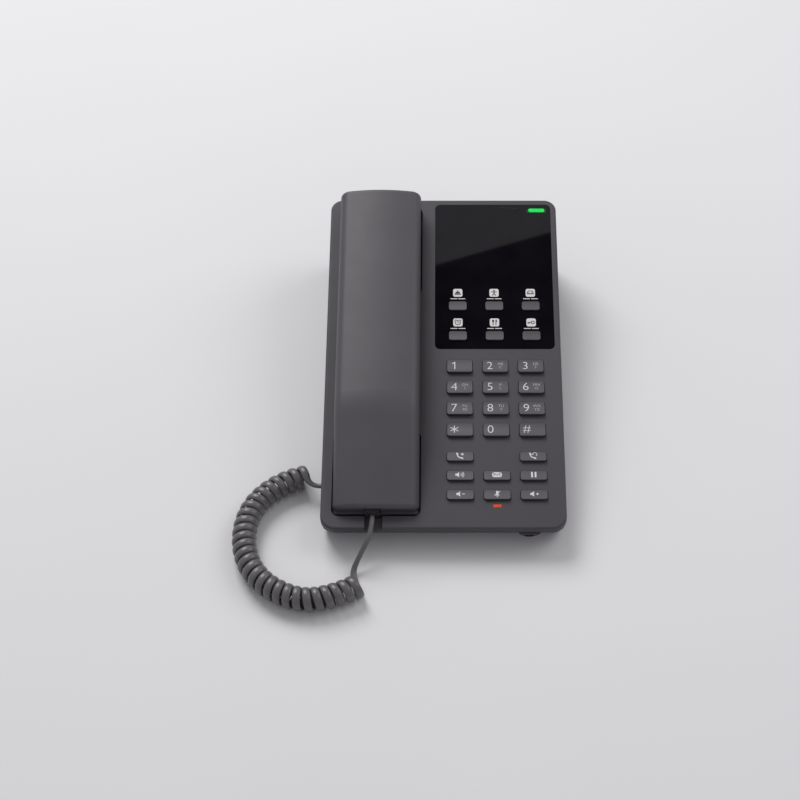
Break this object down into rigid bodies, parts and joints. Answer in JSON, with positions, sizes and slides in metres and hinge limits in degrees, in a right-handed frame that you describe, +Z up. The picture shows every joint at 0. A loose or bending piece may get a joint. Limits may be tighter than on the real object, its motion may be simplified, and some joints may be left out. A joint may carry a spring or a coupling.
{
  "type": "desk ip phone",
  "caption": "Low desk telephone with a handset in a cradle, a gloss speed-dial panel, a keypad with function keys, a message light and a curly handset cord.",
  "frame": {"origin": "on the table under the middle of the base, whose feet stand on Z = 0", "axes": "+Z up, +Y to the back where the sockets are, +X to the right of a person who uses it"},
  "size_m": [0.1798, 0.2552, 0.0731],
  "materials": {
    "base_plastic": "fine matte texture, dark grey",
    "handset_plastic": "fine matte texture, mid grey",
    "panel_gloss": "polished black",
    "key_plastic": "satin, mid grey",
    "green_light": "clear green light pipe",
    "red_light": "clear red light pipe",
    "silicone": "moulded key sheet",
    "rubber": "soft feet and gasket",
    "circuit_board": "coated board",
    "steel": "plain steel",
    "socket_black": "moulded black",
    "transducer": "capsules and loudspeaker",
    "clear_plug": "smoky clear plug",
    "cord_vinyl": "soft vinyl"
  },
  "bodies": {
    "base": {"base_cord_jack": "socket_black", "board_screws": "steel", "bottom_cover": "base_plastic", "case_screws": "steel", "cord_base_plug": "clear_plug", "cord_base_tail": "cord_vinyl", "cord_coil": "cord_vinyl", "cord_handset_tail": "cord_vinyl", "faceplate": "panel_gloss", "handsfree_mic": "transducer", "hook_board": "circuit_board", "hook_spring": "steel", "hook_switch": "socket_black", "key_board": "circuit_board", "keypad_membrane": "silicone", "loudspeaker": "transducer", "main_board": "circuit_board", "mute_light": "red_light", "network_jack": "socket_black", "power_jack": "socket_black", "rubber_feet": "rubber", "speaker_gasket": "rubber", "status_light": "green_light", "top_cover": "base_plastic"},
    "handset": {"handset_back": "handset_plastic", "handset_front": "handset_plastic", "receiver": "transducer", "handset_mic": "transducer", "handset_weight": "steel", "handset_cord_jack": "socket_black", "handset_screws": "steel", "cord_handset_plug": "clear_plug"},
    "hook": {"hook_plunger": "base_plastic"},
    "key_0_body": {"key_0": "key_plastic"},
    "key_1_body": {"key_1": "key_plastic"},
    "key_2_body": {"key_2": "key_plastic"},
    "key_3_body": {"key_3": "key_plastic"},
    "key_4_body": {"key_4": "key_plastic"},
    "key_5_body": {"key_5": "key_plastic"},
    "key_6_body": {"key_6": "key_plastic"},
    "key_7_body": {"key_7": "key_plastic"},
    "key_8_body": {"key_8": "key_plastic"},
    "key_9_body": {"key_9": "key_plastic"},
    "key_hash_body": {"key_hash": "key_plastic"},
    "key_hold_body": {"key_hold": "key_plastic"},
    "key_mute_body": {"key_mute": "key_plastic"},
    "key_redial_body": {"key_redial": "key_plastic"},
    "key_speaker_body": {"key_speaker": "key_plastic"},
    "key_star_body": {"key_star": "key_plastic"},
    "key_transfer_body": {"key_transfer": "key_plastic"},
    "key_voicemail_body": {"key_voicemail": "key_plastic"},
    "key_volume_down_body": {"key_volume_down": "key_plastic"},
    "key_volume_up_body": {"key_volume_up": "key_plastic"},
    "speed_key_1_body": {"speed_key_1": "key_plastic"},
    "speed_key_2_body": {"speed_key_2": "key_plastic"},
    "speed_key_3_body": {"speed_key_3": "key_plastic"},
    "speed_key_4_body": {"speed_key_4": "key_plastic"},
    "speed_key_5_body": {"speed_key_5": "key_plastic"},
    "speed_key_6_body": {"speed_key_6": "key_plastic"}
  },
  "joints": [
    {"name": "handset_lift", "type": "slide", "parent": "base", "child": "handset", "axis": [0, -0.1736, 0.9848], "range_m": [0, 0.08]},
    {"name": "hook_rise", "type": "slide", "parent": "base", "child": "hook", "axis": [0, -0.1736, 0.9848], "range_m": [0, 0.004], "deforming": ["hook_spring"]},
    {"name": "key_0_press", "type": "slide", "parent": "base", "child": "key_0_body", "axis": [0, 0.1736, -0.9848], "range_m": [0, 0.0012], "stiffness_N_per_m": 300, "springref_m": -0.001, "deforming": ["keypad_membrane"]},
    {"name": "key_1_press", "type": "slide", "parent": "base", "child": "key_1_body", "axis": [0, 0.1736, -0.9848], "range_m": [0, 0.0012], "stiffness_N_per_m": 300, "springref_m": -0.001, "deforming": ["keypad_membrane"]},
    {"name": "key_2_press", "type": "slide", "parent": "base", "child": "key_2_body", "axis": [0, 0.1736, -0.9848], "range_m": [0, 0.0012], "stiffness_N_per_m": 300, "springref_m": -0.001, "deforming": ["keypad_membrane"]},
    {"name": "key_3_press", "type": "slide", "parent": "base", "child": "key_3_body", "axis": [0, 0.1736, -0.9848], "range_m": [0, 0.0012], "stiffness_N_per_m": 300, "springref_m": -0.001, "deforming": ["keypad_membrane"]},
    {"name": "key_4_press", "type": "slide", "parent": "base", "child": "key_4_body", "axis": [0, 0.1736, -0.9848], "range_m": [0, 0.0012], "stiffness_N_per_m": 300, "springref_m": -0.001, "deforming": ["keypad_membrane"]},
    {"name": "key_5_press", "type": "slide", "parent": "base", "child": "key_5_body", "axis": [0, 0.1736, -0.9848], "range_m": [0, 0.0012], "stiffness_N_per_m": 300, "springref_m": -0.001, "deforming": ["keypad_membrane"]},
    {"name": "key_6_press", "type": "slide", "parent": "base", "child": "key_6_body", "axis": [0, 0.1736, -0.9848], "range_m": [0, 0.0012], "stiffness_N_per_m": 300, "springref_m": -0.001, "deforming": ["keypad_membrane"]},
    {"name": "key_7_press", "type": "slide", "parent": "base", "child": "key_7_body", "axis": [0, 0.1736, -0.9848], "range_m": [0, 0.0012], "stiffness_N_per_m": 300, "springref_m": -0.001, "deforming": ["keypad_membrane"]},
    {"name": "key_8_press", "type": "slide", "parent": "base", "child": "key_8_body", "axis": [0, 0.1736, -0.9848], "range_m": [0, 0.0012], "stiffness_N_per_m": 300, "springref_m": -0.001, "deforming": ["keypad_membrane"]},
    {"name": "key_9_press", "type": "slide", "parent": "base", "child": "key_9_body", "axis": [0, 0.1736, -0.9848], "range_m": [0, 0.0012], "stiffness_N_per_m": 300, "springref_m": -0.001, "deforming": ["keypad_membrane"]},
    {"name": "key_hash_press", "type": "slide", "parent": "base", "child": "key_hash_body", "axis": [0, 0.1736, -0.9848], "range_m": [0, 0.0012], "stiffness_N_per_m": 300, "springref_m": -0.001, "deforming": ["keypad_membrane"]},
    {"name": "key_hold_press", "type": "slide", "parent": "base", "child": "key_hold_body", "axis": [0, 0.1736, -0.9848], "range_m": [0, 0.0012], "stiffness_N_per_m": 300, "springref_m": -0.001, "deforming": ["keypad_membrane"]},
    {"name": "key_mute_press", "type": "slide", "parent": "base", "child": "key_mute_body", "axis": [0, 0.1736, -0.9848], "range_m": [0, 0.0012], "stiffness_N_per_m": 300, "springref_m": -0.001, "deforming": ["keypad_membrane"]},
    {"name": "key_redial_press", "type": "slide", "parent": "base", "child": "key_redial_body", "axis": [0, 0.1736, -0.9848], "range_m": [0, 0.0012], "stiffness_N_per_m": 300, "springref_m": -0.001, "deforming": ["keypad_membrane"]},
    {"name": "key_speaker_press", "type": "slide", "parent": "base", "child": "key_speaker_body", "axis": [0, 0.1736, -0.9848], "range_m": [0, 0.0012], "stiffness_N_per_m": 300, "springref_m": -0.001, "deforming": ["keypad_membrane"]},
    {"name": "key_star_press", "type": "slide", "parent": "base", "child": "key_star_body", "axis": [0, 0.1736, -0.9848], "range_m": [0, 0.0012], "stiffness_N_per_m": 300, "springref_m": -0.001, "deforming": ["keypad_membrane"]},
    {"name": "key_transfer_press", "type": "slide", "parent": "base", "child": "key_transfer_body", "axis": [0, 0.1736, -0.9848], "range_m": [0, 0.0012], "stiffness_N_per_m": 300, "springref_m": -0.001, "deforming": ["keypad_membrane"]},
    {"name": "key_voicemail_press", "type": "slide", "parent": "base", "child": "key_voicemail_body", "axis": [0, 0.1736, -0.9848], "range_m": [0, 0.0012], "stiffness_N_per_m": 300, "springref_m": -0.001, "deforming": ["keypad_membrane"]},
    {"name": "key_volume_down_press", "type": "slide", "parent": "base", "child": "key_volume_down_body", "axis": [0, 0.1736, -0.9848], "range_m": [0, 0.0012], "stiffness_N_per_m": 300, "springref_m": -0.001, "deforming": ["keypad_membrane"]},
    {"name": "key_volume_up_press", "type": "slide", "parent": "base", "child": "key_volume_up_body", "axis": [0, 0.1736, -0.9848], "range_m": [0, 0.0012], "stiffness_N_per_m": 300, "springref_m": -0.001, "deforming": ["keypad_membrane"]},
    {"name": "speed_key_1_press", "type": "slide", "parent": "base", "child": "speed_key_1_body", "axis": [0, 0.1736, -0.9848], "range_m": [0, 0.0012], "stiffness_N_per_m": 300, "springref_m": -0.001, "deforming": ["keypad_membrane"]},
    {"name": "speed_key_2_press", "type": "slide", "parent": "base", "child": "speed_key_2_body", "axis": [0, 0.1736, -0.9848], "range_m": [0, 0.0012], "stiffness_N_per_m": 300, "springref_m": -0.001, "deforming": ["keypad_membrane"]},
    {"name": "speed_key_3_press", "type": "slide", "parent": "base", "child": "speed_key_3_body", "axis": [0, 0.1736, -0.9848], "range_m": [0, 0.0012], "stiffness_N_per_m": 300, "springref_m": -0.001, "deforming": ["keypad_membrane"]},
    {"name": "speed_key_4_press", "type": "slide", "parent": "base", "child": "speed_key_4_body", "axis": [0, 0.1736, -0.9848], "range_m": [0, 0.0012], "stiffness_N_per_m": 300, "springref_m": -0.001, "deforming": ["keypad_membrane"]},
    {"name": "speed_key_5_press", "type": "slide", "parent": "base", "child": "speed_key_5_body", "axis": [0, 0.1736, -0.9848], "range_m": [0, 0.0012], "stiffness_N_per_m": 300, "springref_m": -0.001, "deforming": ["keypad_membrane"]},
    {"name": "speed_key_6_press", "type": "slide", "parent": "base", "child": "speed_key_6_body", "axis": [0, 0.1736, -0.9848], "range_m": [0, 0.0012], "stiffness_N_per_m": 300, "springref_m": -0.001, "deforming": ["keypad_membrane"]}
  ],
  "couplings": [
    {"joint": "hook_rise", "follows": "handset_lift", "ratio": 0.05}
  ]
}
